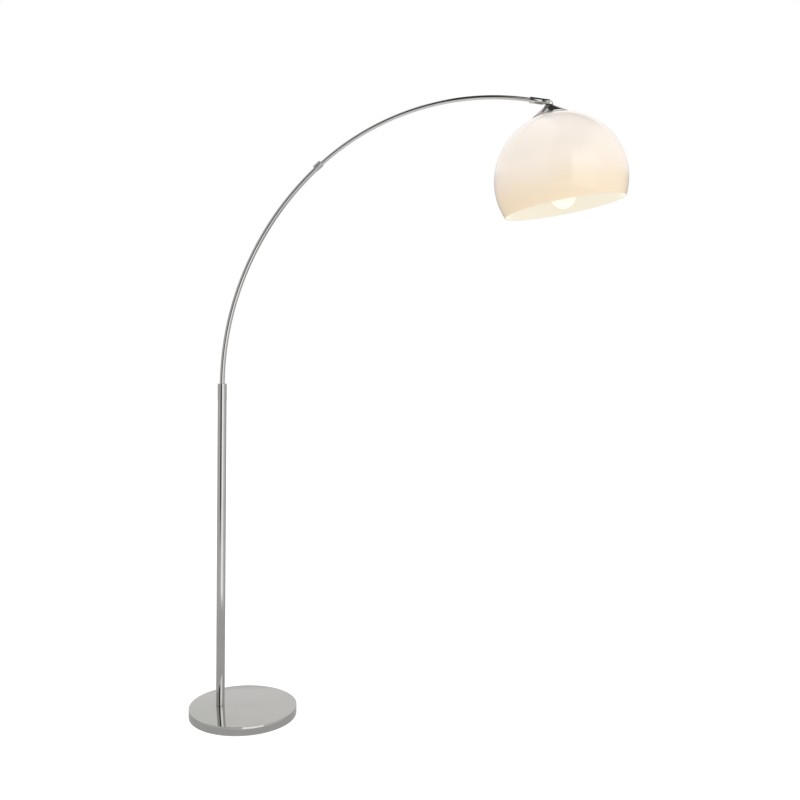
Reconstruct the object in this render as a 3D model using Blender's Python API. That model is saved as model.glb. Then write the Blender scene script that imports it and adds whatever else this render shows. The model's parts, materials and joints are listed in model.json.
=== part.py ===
"""Arc floor lamp: a weighted disc base, an off-centre pole, a two-piece arc arm that swivels in the
pole, and a dome shade that tilts on a small clevis at the arm's tip.

Units are metres and +Z is up. The origin is the centre of the base, on the floor, and the arm
reaches towards +X.
"""

import math

import bmesh
import bpy
from mathutils import Matrix, Vector

MM = 0.001
GAP = 0.3 * MM

# Base
BASE_R = 136.5 * MM
BASE_TOP = 22.8 * MM
COVER_WALL = 1.2 * MM
COVER_EDGE_R = 1.0 * MM
COVER_LIP = 1.0 * MM
COVER_CORNER = 1.0 * MM
PAD_R = 133 * MM
PAD_THICK = 2.0 * MM
WEIGHT_PLAY = 0.5 * MM
WEIGHT_CHAMFER = 1.5 * MM
WEIGHT_FLOOR = 2.4 * MM
POCKET_R = 22 * MM
POCKET_TOP = 16.4 * MM
CHANNEL_HALF = 4.5 * MM
CHANNEL_TOP = 13.4 * MM
GLAND_ANGLE = math.radians(115)
GLAND_Z = 8.5 * MM
GLAND_HOLE_R = 4.5 * MM
GLAND_NECK_R = 4.1 * MM
GLAND_FLANGE_R = 6.3 * MM
GLAND_BORE = 2.6 * MM

# Pole
POLE_X = -58.6 * MM
POLE_R = 11.1 * MM
POLE_BORE = 9.6 * MM
POLE_SEAM = 839.5 * MM
POLE_TOP = 848.0 * MM
CAP_CHAMFER = 1.6 * MM
CAP_SPIGOT = 11 * MM
PLUG_TOP = 46 * MM
PLUG_CHAMFER = 1 * MM
SPIGOT_END = 757 * MM
BUSH_TOP = 785 * MM
BUSH_SCREW_Z = 771 * MM

# Hollow threaded stud that ties the base together, and the lead's sheath and single cores
STUD_R = 5.0 * MM
STUD_BORE = 3.6 * MM
STUD_LOW = 9.8 * MM
STUD_TOP = 44 * MM
STUD_NUT_FLATS = 17 * MM
STUD_WASHER_R = 14 * MM
SHEATH_R = 2.2 * MM
CORE_R = 1.2 * MM
CORE_HOLE_R = 1.8 * MM

# Arm: two tubes with different bends, tangent to each other where the collar joins them
LOWER_TUBE_R = 6.0 * MM
UPPER_TUBE_R = 5.0 * MM
TUBE_WALL = 1.0 * MM
SPRING_Z = 842.5 * MM
LOWER_BEND = 757.4 * MM
UPPER_BEND = 642.1 * MM
COLLAR_ANGLE = math.radians(46.5)
TIP_ANGLE = math.radians(96.95)
BEND_STEP = math.radians(3.0)
STOP_RING_R = 8.8 * MM
STOP_RING_HIGH = 8 * MM

COLLAR_R = 8.4 * MM
COLLAR_HALF = 10.25 * MM
COLLAR_OFFSET = 1.4 * MM
COLLAR_CHAMFER = 0.4 * MM

# Sleeve and fork at the arm's tip. U runs along the sleeve, V across it, from the sleeve's mouth
SLEEVE_R = 7.65 * MM
SLEEVE_LENGTH = 30.2 * MM
SLEEVE_STEP = 13 * MM
SLEEVE_BORE = 6.5 * MM
SLEEVE_CHAMFER = 0.8 * MM
FORK_START = 20.4 * MM
FORK_SHOULDER = 30.5 * MM
FORK_END = 50.5 * MM
SLOT_START = 41.5 * MM
SLOT_HALF = 2.5 * MM
SLOT_TOP = 5.8 * MM
PIVOT_U = 47.5 * MM
PIVOT_V = -1.5 * MM
EAR_R = 4.2 * MM
PIVOT_HOLE_R = 1.8 * MM
SPOT_FACE_R = 5.2 * MM
SPOT_FACE_Y = 5.6 * MM
FASTENER_R = 1.5 * MM
SCREW_HEAD_R = 2.9 * MM

# Head. Heights are measured along the head's own axis from the tilt pivot, down being negative
HEAD_TILT = 0.187
SHADE_R = 165 * MM
SHADE_WALL = 2.5 * MM
SHADE_CENTRE = -191.3 * MM
SHADE_RIM = SHADE_CENTRE - 67 * MM
SHADE_HOLE_R = 16 * MM
CAP_R = 44.3 * MM
CAP_TOP_R = 13.5 * MM
CAP_TOP = -8.1 * MM
CAP_RIM_TOP = -28.7 * MM
CAP_RIM = -31.0 * MM
CAP_WALL = 1.2 * MM
KNUCKLE_R = 12.5 * MM
KNUCKLE_TOP = -5.0 * MM
KNUCKLE_BASE = -7.8 * MM
HUB_R = 7.0 * MM
HUB_END = -19.3 * MM
TONGUE_HALF_WIDTH = 3.6 * MM
TONGUE_HALF_THICK = 2.2 * MM
DISC_TOP = -33.0 * MM
DISC_R = 30 * MM
DISC_THICK = 1.5 * MM
STEM_NUT_FLATS = 14 * MM
STEM_NUT_HIGH = 4 * MM
STEM_SLEEVE_R = 7 * MM
STEM_SLEEVE_BORE = 5.8 * MM
STEM_TOP = -10.5 * MM
STEM_END = -133 * MM
HOLDER_TOP = -124.0 * MM
HOLDER_SEAM = -141.0 * MM
HOLDER_END = -179.7 * MM
HOLDER_R = 19.6 * MM
HOLDER_WALL = 1.6 * MM
SHELL_R = 13.9 * MM
SHELL_BORE = 13.3 * MM
SHELL_END = -178.7 * MM
BULB_TIP = -156.3 * MM
BULB_CAP_R = 13.0 * MM
BULB_CAP_BORE = 11.6 * MM
BULB_CAP_TOP = -160.8 * MM
BULB_CAP_LOW = -181.5 * MM
BULB_NECK_R = 11.1 * MM
BULB_NECK_TOP = -165 * MM
BULB_WAIST = -211.4 * MM
BULB_WALL = 1.0 * MM
BULB_R = 30 * MM
BULB_END = -262.3 * MM

FINE = 60
SHADE_SIDES = 48
MEDIUM = 24
SMALL = 16
TINY = 12
SHADE_STEPS = 12
GLOBE_STEPS = 7


def clear_scene():
    for old in list(bpy.data.objects):
        bpy.data.objects.remove(old, do_unlink=True)


def material(name, colour, roughness, metallic=0.0, emission=0.0):
    made = bpy.data.materials.new(name)
    made.use_nodes = True
    shader = made.node_tree.nodes["Principled BSDF"]
    shader.inputs["Base Color"].default_value = (*colour, 1.0)
    shader.inputs["Roughness"].default_value = roughness
    shader.inputs["Metallic"].default_value = metallic
    shader.inputs["Emission Color"].default_value = (*colour, 1.0)
    shader.inputs["Emission Strength"].default_value = emission
    made.diffuse_color = (*colour, 1.0)
    return made


def empty(name, location, turn=0.0, parent=None):
    """A frame for the pieces that hang on it, turned about Y."""
    made = bpy.data.objects.new(name, None)
    bpy.context.collection.objects.link(made)
    made.location = location
    made.rotation_euler = (0, turn, 0)
    made.parent = parent
    return made


def add_object(name, bm, look, parent=None, location=(0, 0, 0), rotation=(0, 0, 0)):
    bmesh.ops.recalc_face_normals(bm, faces=bm.faces[:])
    mesh = bpy.data.meshes.new(name)
    bm.to_mesh(mesh)
    bm.free()
    mesh.materials.append(look)
    mesh.shade_smooth()
    mesh.set_sharp_from_angle(angle=math.radians(35))
    made = bpy.data.objects.new(name, mesh)
    bpy.context.collection.objects.link(made)
    made.parent = parent
    made.location = location
    made.rotation_euler = rotation
    return made


def turned(name, outline, look, sides, **place):
    """A piece turned about its own Z from (radius, height) points. An outline that starts and ends
    on the axis is a solid; any other one is closed into a ring."""
    bm = bmesh.new()
    verts = [bm.verts.new((r, 0, z)) for r, z in outline]
    pairs = list(zip(verts, verts[1:]))
    if outline[0][0] > 0:
        pairs.append((verts[-1], verts[0]))
    edges = [bm.edges.new(pair) for pair in pairs]
    bmesh.ops.spin(
        bm,
        geom=verts + edges,
        axis=(0, 0, 1),
        cent=(0, 0, 0),
        angle=2 * math.pi,
        steps=sides,
        use_merge=True,
    )
    bmesh.ops.remove_doubles(bm, verts=bm.verts[:], dist=1e-6)
    return add_object(name, bm, look, **place)


def pipe(name, outer, inner, low, high, look, sides, **place):
    outline = [(outer, high), (outer, low), (inner, low), (inner, high)]
    return turned(name, outline, look, sides, **place)


def rod(name, radius, low, high, look, sides, **place):
    outline = [(0, high), (radius, high), (radius, low), (0, low)]
    return turned(name, outline, look, sides, **place)


def prism(name, outline, low, high, look, **place):
    """A flat outline in the local XZ plane, extruded along Y from low to high."""
    bm = bmesh.new()
    face = bm.faces.new([bm.verts.new((x, low, z)) for x, z in outline])
    side = bmesh.ops.extrude_face_region(bm, geom=[face])["geom"]
    moved = [item for item in side if isinstance(item, bmesh.types.BMVert)]
    bmesh.ops.translate(bm, verts=moved, vec=(0, high - low, 0))
    return add_object(name, bm, look, **place)


def hex_nut(name, across_flats, bore, low, high, look, **place):
    """A hexagon nut about Z, made as a ring of six flats round a bore with twice as many sides."""
    bm = bmesh.new()
    corner = across_flats / math.sqrt(3)
    loops = []
    for z in (low, high):
        for radius_of in (lambda i: corner if i % 2 == 0 else across_flats / 2, lambda i: bore):
            ring = []
            for i in range(12):
                angle = i * math.pi / 6
                r = radius_of(i)
                ring.append(bm.verts.new((r * math.cos(angle), r * math.sin(angle), z)))
            loops.append(ring)
    low_out, low_in, high_out, high_in = loops
    for a, b in ((low_out, high_out), (high_out, high_in), (high_in, low_in), (low_in, low_out)):
        for i in range(12):
            j = (i + 1) % 12
            bm.faces.new((a[i], a[j], b[j], b[i]))
    return add_object(name, bm, look, **place)


def swept_tube(name, stations, outer, inner, sides, look, parent):
    """A hollow tube in the XZ plane. A station is a point and the angle that its tangent has turned
    from upright towards +X."""
    bm = bmesh.new()
    rings = []
    for (x, z), turn in stations:
        across = Vector((-math.cos(turn), 0, math.sin(turn)))
        pair = []
        for radius in (outer, inner):
            ring = []
            for i in range(sides):
                angle = 2 * math.pi * i / sides
                offset = across * math.cos(angle) + Vector((0, math.sin(angle), 0))
                ring.append(bm.verts.new(Vector((x, 0, z)) + offset * radius))
            pair.append(ring)
        rings.append(pair)
    skins = []
    for before, after in zip(rings, rings[1:]):
        skins.append((before[0], after[0]))
        skins.append((after[1], before[1]))
    skins.append((rings[0][1], rings[0][0]))
    skins.append((rings[-1][0], rings[-1][1]))
    for a, b in skins:
        for i in range(sides):
            j = (i + 1) % sides
            bm.faces.new((a[i], a[j], b[j], b[i]))
    return add_object(name, bm, look, parent)


def smooth_route(points, per_span):
    """Points along the Catmull-Rom curve through the route's own points."""
    knots = [Vector(p) for p in points]
    knots = [2 * knots[0] - knots[1]] + knots + [2 * knots[-1] - knots[-2]]
    route = []
    for a, b, c, d in zip(knots, knots[1:], knots[2:], knots[3:]):
        for i in range(per_span):
            t = i / per_span
            route.append(
                0.5 * (2 * b + (c - a) * t + (2 * a - 5 * b + 4 * c - d) * t**2
                       + (3 * b - a - 3 * c + d) * t**3)
            )
    return route + [knots[-2]]


def lead(name, route, radius, look, parent=None):
    curve = bpy.data.curves.new(name, "CURVE")
    curve.dimensions = "3D"
    curve.bevel_depth = radius
    curve.bevel_resolution = 2
    curve.use_fill_caps = True
    curve.materials.append(look)
    spline = curve.splines.new("POLY")
    spline.points.add(len(route) - 1)
    for point, place in zip(spline.points, route):
        point.co = (*place, 1)
    made = bpy.data.objects.new(name, curve)
    bpy.context.collection.objects.link(made)
    made.parent = parent
    return made


def combine(piece, other, operation):
    """Joins, cuts or trims a piece with a helper solid, which is then hidden."""
    step = piece.modifiers.new(other.name, "BOOLEAN")
    step.operation = operation
    step.solver = "EXACT"
    step.object = other
    other.hide_render = True
    other.display_type = "WIRE"


def cut(piece, *cutters):
    for cutter in cutters:
        combine(piece, cutter, "DIFFERENCE")


def arc_points(centre, radius, start, end, steps):
    """(x, z) points on an arc, the angles being in radians from +X towards +Z."""
    cx, cz = centre
    turns = [start + (end - start) * i / steps for i in range(steps + 1)]
    return [(cx + radius * math.cos(a), cz + radius * math.sin(a)) for a in turns]


# ---------------------------------------------------------------- arm geometry (x from the pole axis)


def lower_station(turn):
    x = LOWER_BEND - LOWER_BEND * math.cos(turn)
    return (x, SPRING_Z + LOWER_BEND * math.sin(turn)), turn


def upper_station(turn):
    shift = LOWER_BEND - UPPER_BEND
    centre_x = LOWER_BEND - shift * math.cos(COLLAR_ANGLE)
    centre_z = SPRING_Z + shift * math.sin(COLLAR_ANGLE)
    x = centre_x - UPPER_BEND * math.cos(turn)
    return (x, centre_z + UPPER_BEND * math.sin(turn)), turn


def bend(station, start, end):
    steps = math.ceil((end - start) / BEND_STEP)
    return [station(start + (end - start) * i / steps) for i in range(steps + 1)]


def beyond_tip(length):
    (x, z), turn = upper_station(TIP_ANGLE)
    return (x + length * math.sin(turn), z + length * math.cos(turn)), turn


def tip_point(u, v):
    """A point given along and across the sleeve, in the arm's frame."""
    (x, z), turn = upper_station(TIP_ANGLE)
    along = Vector((math.sin(turn), 0, math.cos(turn)))
    across = Vector((-math.cos(turn), 0, math.sin(turn)))
    return Vector((x, 0, z)) + along * u + across * v


def head_point(s, height):
    """A point given across and along the head's axis, in the arm's frame."""
    side = Vector((math.cos(HEAD_TILT), 0, math.sin(HEAD_TILT)))
    up = Vector((-math.sin(HEAD_TILT), 0, math.cos(HEAD_TILT)))
    return tip_point(PIVOT_U, PIVOT_V) + side * s + up * height


# ---------------------------------------------------------------- base


def base_route():
    """The lead's way from the gland through the base's channel and up into the stud."""
    out = Vector((math.cos(GLAND_ANGLE), math.sin(GLAND_ANGLE), 0))
    rim = [out * (r * MM) + Vector((0, 0, z * MM)) for r, z in ((137, 8.5), (120, 8.5), (102, 8))]
    inner = [(-46, 60, 6.6), (-53, 30, 5.6), (-57.4, 12, 5.3), (-58.5, 6, 5.9)]
    rise = [(-58.6, 2.2, 7.2), (-58.6, 0.3, 10.5), (-58.6, 0, 14), (-58.6, 0, 24)]
    return rim + [Vector(p) * MM for p in inner + rise]


def make_base(looks):
    chrome, iron, felt, steel = (looks[k] for k in ("chrome", "iron", "felt", "steel"))
    inner_r = BASE_R - COVER_WALL
    edge = arc_points((BASE_R - COVER_EDGE_R, BASE_TOP - COVER_EDGE_R), COVER_EDGE_R, math.pi / 2, 0, 4)
    ceiling = BASE_TOP - COVER_WALL
    outline = [(0, BASE_TOP)] + edge + [(BASE_R, COVER_LIP), (inner_r, COVER_LIP)]
    outline += [(inner_r, ceiling - COVER_CORNER), (inner_r - COVER_CORNER, ceiling), (0, ceiling)]
    cover = turned("base_cover", outline, chrome, FINE)
    past_top = BASE_TOP + 7 * MM
    stud_hole = rod("cut_stud_hole", STUD_R + GAP, 0, past_top, steel, SMALL, location=(POLE_X, 0, 0))
    out = Vector((math.cos(GLAND_ANGLE), math.sin(GLAND_ANGLE), 0))
    outwards = Vector((0, 0, 1)).rotation_difference(out).to_euler()
    gland_at = Vector((0, 0, GLAND_Z))
    at_gland = {"location": gland_at, "rotation": outwards}
    far_in = BASE_R - 8.5 * MM
    far_out = BASE_R + 5.5 * MM
    gland_hole = rod("cut_gland_hole", GLAND_HOLE_R, far_in, far_out, steel, SMALL, **at_gland)
    cut(cover, stud_hole, gland_hole)

    weight_top = ceiling - GAP
    weight_r = inner_r - WEIGHT_PLAY
    chamfer = WEIGHT_CHAMFER
    outline = [(0, weight_top), (weight_r - chamfer, weight_top), (weight_r, weight_top - chamfer)]
    outline += [(weight_r, WEIGHT_FLOOR), (0, WEIGHT_FLOOR)]
    weight = turned("base_weight", outline, iron, FINE)
    pocket = rod("cut_pocket", POCKET_R, 0, POCKET_TOP, iron, MEDIUM, location=(POLE_X, 0, 0))
    route = base_route()
    path = [p.xy for p in (route[0] * 1.05, *route[1:6])]
    channel = channel_cutter("cut_channel", path, CHANNEL_HALF, 0, CHANNEL_TOP, iron)
    cut(weight, stud_hole, pocket, channel)

    rod("base_pad", PAD_R, 0, PAD_THICK, felt, FINE)
    at_pole = {"location": (POLE_X, 0, 0)}
    hole_r = STUD_R + GAP
    washer_top = POCKET_TOP - GAP
    washer_low = washer_top - 1.5 * MM
    nut_top = washer_low - GAP
    nut_low = nut_top - 4.1 * MM
    pipe("base_stud", STUD_R, STUD_BORE, STUD_LOW, STUD_TOP, steel, SMALL, **at_pole)
    pipe("base_washer", STUD_WASHER_R, hole_r, washer_low, washer_top, steel, MEDIUM, **at_pole)
    hex_nut("base_nut", STUD_NUT_FLATS, hole_r, nut_low, nut_top, steel, **at_pole)

    inside = inner_r - 2 * MM
    flange_low = BASE_R + 0.35 * MM
    flange_top = BASE_R + 2.6 * MM
    shoulder = BASE_R + 1.4 * MM
    outline = [(GLAND_BORE, inside), (GLAND_NECK_R, inside), (GLAND_NECK_R, flange_low)]
    outline += [(GLAND_FLANGE_R, flange_low), (GLAND_FLANGE_R, shoulder)]
    outline += [(GLAND_FLANGE_R - 1.3 * MM, flange_top), (GLAND_BORE, flange_top)]
    turned("cable_gland", outline, looks["rubber"], SMALL, **at_gland)
    top_of_stand = [Vector((POLE_X, 0, z * MM)) for z in (60, 400, 749.7)]
    lead("lead_in_pole", smooth_route(route, 4) + top_of_stand, SHEATH_R, looks["sheath"])


def channel_cutter(name, path, half_width, low, high, look):
    """A trench along a path in plan, as a prism from its left side to its right side."""
    left = []
    right = []
    for i, point in enumerate(path):
        before = path[max(i - 1, 0)]
        after = path[min(i + 1, len(path) - 1)]
        along = (after - before).normalized()
        side = Vector((-along.y, along.x)) * half_width
        left.append(point + side)
        right.append(point - side)
    bm = bmesh.new()
    rings = []
    for a, b in zip(left, right):
        corners = ((a, low), (b, low), (b, high), (a, high))
        rings.append([bm.verts.new((p.x, p.y, z)) for p, z in corners])
    for before, after in zip(rings, rings[1:]):
        for i in range(4):
            j = (i + 1) % 4
            bm.faces.new((before[i], before[j], after[j], after[i]))
    bm.faces.new(rings[0])
    bm.faces.new(rings[-1])
    return add_object(name, bm, look)


# ---------------------------------------------------------------- pole


def make_pole(looks):
    chrome, steel = looks["chrome"], looks["steel"]
    at_pole = {"location": (POLE_X, 0, 0)}
    tube = pipe("pole_tube", POLE_R, POLE_BORE, BASE_TOP + GAP, POLE_SEAM - GAP, chrome, MEDIUM, **at_pole)
    insert_r = POLE_BORE - GAP
    shoulder = (insert_r - PLUG_CHAMFER, PLUG_TOP)
    outline = [(STUD_R + GAP, PLUG_TOP), shoulder, (insert_r, PLUG_TOP - PLUG_CHAMFER)]
    outline += [(insert_r, BASE_TOP + GAP), (STUD_R + GAP, BASE_TOP + GAP)]
    turned("pole_foot_plug", outline, steel, MEDIUM, **at_pole)

    bearing_r = LOWER_TUBE_R + GAP
    outline = [(bearing_r, POLE_TOP), (POLE_R - CAP_CHAMFER, POLE_TOP), (POLE_R, POLE_TOP - CAP_CHAMFER)]
    outline += [(POLE_R, POLE_SEAM), (insert_r, POLE_SEAM), (insert_r, POLE_SEAM - CAP_SPIGOT)]
    outline += [(bearing_r, POLE_SEAM - CAP_SPIGOT)]
    turned("pole_cap", outline, chrome, MEDIUM, **at_pole)

    bush = pipe("swivel_bush", insert_r, bearing_r, SPIGOT_END, BUSH_TOP, looks["nylon"], MEDIUM, **at_pole)
    at_back = {"location": (POLE_X, 0, BUSH_SCREW_Z), "rotation": (-math.pi / 2, 0, 0)}
    screw_hole = rod("cut_bush_screw", 2.0 * MM, 7.2 * MM, 14 * MM, steel, TINY, **at_back)
    cut(tube, screw_hole)
    cut(bush, screw_hole)
    head_r = 3.4 * MM
    shank_r = 1.7 * MM
    head_low = POLE_R + GAP
    head_top = 13.6 * MM
    point = 7.6 * MM
    outline = [(0, head_top), (head_r - 1 * MM, head_top), (head_r, head_top - 0.8 * MM)]
    outline += [(head_r, head_low), (shank_r, head_low), (shank_r, point), (0, point)]
    turned("bush_screw", outline, steel, TINY, **at_back)


# ---------------------------------------------------------------- arm


def make_arm(looks, swivel):
    chrome, steel = looks["chrome"], looks["steel"]
    in_collar = COLLAR_HALF + 2 * MM
    held = COLLAR_ANGLE - in_collar / LOWER_BEND
    end = COLLAR_ANGLE - 0.4 * MM / LOWER_BEND
    stations = [((0, SPIGOT_END), 0.0)] + bend(lower_station, 0, held) + bend(lower_station, held, end)[1:]
    bore = LOWER_TUBE_R - TUBE_WALL
    swept_tube("arc_tube_lower", stations, LOWER_TUBE_R, bore, SMALL, chrome, swivel)
    held = COLLAR_ANGLE + in_collar / UPPER_BEND
    stations = bend(upper_station, COLLAR_ANGLE, held) + bend(upper_station, held, TIP_ANGLE)[1:]
    stations.append(beyond_tip(SLEEVE_STEP - 0.5 * MM))
    bore = UPPER_TUBE_R - TUBE_WALL
    swept_tube("arc_tube_upper", stations, UPPER_TUBE_R, bore, SMALL, chrome, swivel)

    ring_r = LOWER_TUBE_R + GAP
    ring_top = BUSH_TOP + STOP_RING_HIGH
    pipe("stop_ring", STOP_RING_R, ring_r, BUSH_TOP + GAP, ring_top, steel, MEDIUM, parent=swivel)

    start = [((0, 750 * MM), 0.0), ((0, 800 * MM), 0.0)]
    route = start + bend(lower_station, 0, COLLAR_ANGLE) + bend(upper_station, COLLAR_ANGLE, TIP_ANGLE)[1:]
    route += [beyond_tip(16.5 * MM)]
    lead("lead_in_arm", [Vector((x, 0, z)) for (x, z), _ in route], SHEATH_R, looks["sheath"], swivel)

    make_collar(looks, swivel)
    (x, z), turn = upper_station(TIP_ANGLE)
    tip = empty("arm_tip", (x, 0, z), turn - math.pi / 2, swivel)
    make_tip(looks, tip)
    return tip


def make_collar(looks, swivel):
    """The collar is thicker on the outside of the bend, where its two grub screws sit."""
    satin, steel = looks["satin"], looks["steel"]
    (x, z), turn = lower_station(COLLAR_ANGLE)
    frame = empty("collar_frame", (x, 0, z), turn - math.pi / 2, swivel)
    along = {"parent": frame, "rotation": (0, math.pi / 2, 0)}
    chamfer = COLLAR_CHAMFER
    outline = [(0, COLLAR_HALF), (COLLAR_R - chamfer, COLLAR_HALF), (COLLAR_R, COLLAR_HALF - chamfer)]
    outline += [(COLLAR_R, chamfer - COLLAR_HALF), (COLLAR_R - chamfer, -COLLAR_HALF), (0, -COLLAR_HALF)]
    collar = turned("arm_collar", outline, satin, MEDIUM, location=(0, 0, COLLAR_OFFSET), **along)
    past_end = COLLAR_HALF + 2 * MM
    lower_bore = rod("cut_collar_lower", LOWER_TUBE_R + GAP, -past_end, 0, steel, MEDIUM, **along)
    upper_bore = rod("cut_collar_upper", UPPER_TUBE_R + GAP, -1 * MM, past_end, steel, MEDIUM, **along)
    cut(collar, lower_bore, upper_bore)
    for name, at, tube_r in (("lower", -5.2 * MM, LOWER_TUBE_R), ("upper", 5.2 * MM, UPPER_TUBE_R)):
        spot = {"parent": frame, "location": (at, 0, 0)}
        hole = rod(f"cut_collar_screw_{name}", FASTENER_R + GAP, 4 * MM, 14 * MM, steel, TINY, **spot)
        cut(collar, hole)
        grub_screw(f"collar_screw_{name}", tube_r + GAP, 9.3 * MM, steel, **spot)


def grub_screw(name, low, high, look, **place):
    """A headless screw with a conical socket in its outer end."""
    socket = 0.8 * MM
    outline = [(0, high - socket), (socket, high), (FASTENER_R, high), (FASTENER_R, low), (0, low)]
    return turned(name, outline, look, TINY, **place)


def make_tip(looks, tip):
    chrome, steel = looks["chrome"], looks["steel"]
    along = {"parent": tip, "rotation": (0, math.pi / 2, 0)}
    chamfer = SLEEVE_CHAMFER
    tube_bore = UPPER_TUBE_R + GAP
    outline = [(tube_bore, SLEEVE_STEP), (SLEEVE_BORE, SLEEVE_STEP), (SLEEVE_BORE, SLEEVE_LENGTH)]
    outline += [(SLEEVE_R, SLEEVE_LENGTH), (SLEEVE_R, chamfer), (SLEEVE_R - chamfer, 0), (tube_bore, 0)]
    sleeve = turned("head_sleeve", outline, chrome, MEDIUM, **along)
    # Local Z of the tip frame points across the sleeve, so a half turn aims the screw underneath.
    under = {"parent": tip, "location": (6.5 * MM, 0, 0), "rotation": (math.pi, 0, 0)}
    hole = rod("cut_sleeve_screw", FASTENER_R + GAP, 4 * MM, 10 * MM, steel, TINY, **under)
    cut(sleeve, hole)
    grub_screw("sleeve_screw", tube_bore, 7.2 * MM, steel, **under)

    spigot_r = SLEEVE_BORE - GAP
    outline = [(0, FORK_START), (spigot_r, FORK_START), (spigot_r, FORK_SHOULDER)]
    outline += [(SLEEVE_R, FORK_SHOULDER), (SLEEVE_R, FORK_END - chamfer), (SLEEVE_R - chamfer, FORK_END)]
    outline += [(0, FORK_END)]
    body = [(r, z) for r, z in reversed(outline)]
    fork = turned("head_fork", body, chrome, MEDIUM, **along)
    combine(fork, fork_side(tip, steel), "INTERSECT")
    at_pivot = {"parent": tip, "location": (PIVOT_U, 0, PIVOT_V), "rotation": (-math.pi / 2, 0, 0)}
    slot_outline = [(SLOT_START, -12 * MM), (60 * MM, -12 * MM), (60 * MM, SLOT_TOP), (SLOT_START, SLOT_TOP)]
    slot = prism("cut_fork_slot", slot_outline, -SLOT_HALF, SLOT_HALF, steel, parent=tip)
    clear_y = 12 * MM
    outline = [(0, clear_y), (SPOT_FACE_R, clear_y), (SPOT_FACE_R, SPOT_FACE_Y), (PIVOT_HOLE_R, SPOT_FACE_Y)]
    outline += [(r, -y) for r, y in reversed(outline)]
    pivot_hole = turned("cut_fork_pivot", outline, steel, SMALL, **at_pivot)
    rise = Vector((24 * MM, 0, 4.8 * MM))
    bore = rod(
        "cut_fork_bore",
        CORE_HOLE_R,
        0,
        rise.length,
        steel,
        TINY,
        parent=tip,
        location=(19 * MM, 0, -0.3 * MM),
        rotation=Vector((0, 0, 1)).rotation_difference(rise).to_euler(),
    )
    cut(fork, slot, pivot_hole, bore)

    seat = SPOT_FACE_Y + GAP
    head = -seat - 2 * MM
    point = 9.4 * MM
    outline = [(0, head), (SCREW_HEAD_R - 1 * MM, head), (SCREW_HEAD_R, head + 0.8 * MM)]
    outline += [(SCREW_HEAD_R, -seat), (FASTENER_R, -seat), (FASTENER_R, point), (0, point)]
    turned("tilt_screw", outline, steel, SMALL, **at_pivot)
    washer_top = seat + 0.6 * MM
    pipe("tilt_washer", 3.2 * MM, PIVOT_HOLE_R, seat, washer_top, steel, SMALL, **at_pivot)
    nut_low = washer_top + GAP
    hex_nut("tilt_nut", 5.5 * MM, PIVOT_HOLE_R, nut_low, nut_low + 2.2 * MM, steel, **at_pivot)


def fork_side(tip, look):
    """The fork's side view: a full round above, cut back below to let the head tilt."""
    quarter = math.pi / 2
    ear = arc_points((PIVOT_U, PIVOT_V), EAR_R, -quarter, quarter / 2, 8)
    under = [(19 * MM, -9 * MM), (30 * MM, -9 * MM), (30.9 * MM, -7.8 * MM), (37.5 * MM, -4.6 * MM)]
    top = [(FORK_END + 1.5 * MM, 3 * MM), (FORK_END + 1.5 * MM, 9 * MM), (19 * MM, 9 * MM)]
    return prism("trim_fork_side", under + ear + top, -12 * MM, 12 * MM, look, parent=tip)


# ---------------------------------------------------------------- head


def make_head(looks, tilt):
    make_knuckle(looks, tilt)
    make_shade(looks, tilt)
    make_stem(looks, tilt)
    make_holder(looks, tilt)
    make_bulb(looks, tilt)


def make_knuckle(looks, tilt):
    steel, dark = looks["steel"], looks["dark"]
    stem_bore = STUD_R + GAP
    outline = [(0, KNUCKLE_TOP), (9.2 * MM, KNUCKLE_TOP), (11.6 * MM, KNUCKLE_TOP - 0.9 * MM)]
    outline += [(KNUCKLE_R, KNUCKLE_TOP - 2.2 * MM), (KNUCKLE_R, KNUCKLE_BASE), (HUB_R, KNUCKLE_BASE)]
    outline += [(HUB_R, HUB_END), (stem_bore, HUB_END), (stem_bore, STEM_TOP + GAP), (0, STEM_TOP + GAP)]
    knuckle = turned("shade_knuckle", outline, dark, MEDIUM, parent=tilt)
    top = arc_points((0, 0), TONGUE_HALF_WIDTH, 0, math.pi, 10)
    plate = [(TONGUE_HALF_WIDTH, KNUCKLE_TOP - 1 * MM)] + top + [(-TONGUE_HALF_WIDTH, KNUCKLE_TOP - 1 * MM)]
    half = TONGUE_HALF_THICK
    combine(knuckle, prism("add_tongue", plate, -half, half, dark, parent=tilt), "UNION")
    across = {"parent": tilt, "rotation": (-math.pi / 2, 0, 0)}
    pivot_hole = rod("cut_tongue_pivot", PIVOT_HOLE_R, -5 * MM, 5 * MM, steel, SMALL, **across)
    fall = Vector((-10.4, 0, -8.8)) * MM
    lead_hole = rod(
        "cut_knuckle_lead",
        1.7 * MM,
        0,
        fall.length,
        steel,
        TINY,
        parent=tilt,
        location=(9.8 * MM, 0, -3.2 * MM),
        rotation=Vector((0, 0, 1)).rotation_difference(fall).to_euler(),
    )
    cut(knuckle, pivot_hole, lead_hole)


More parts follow.
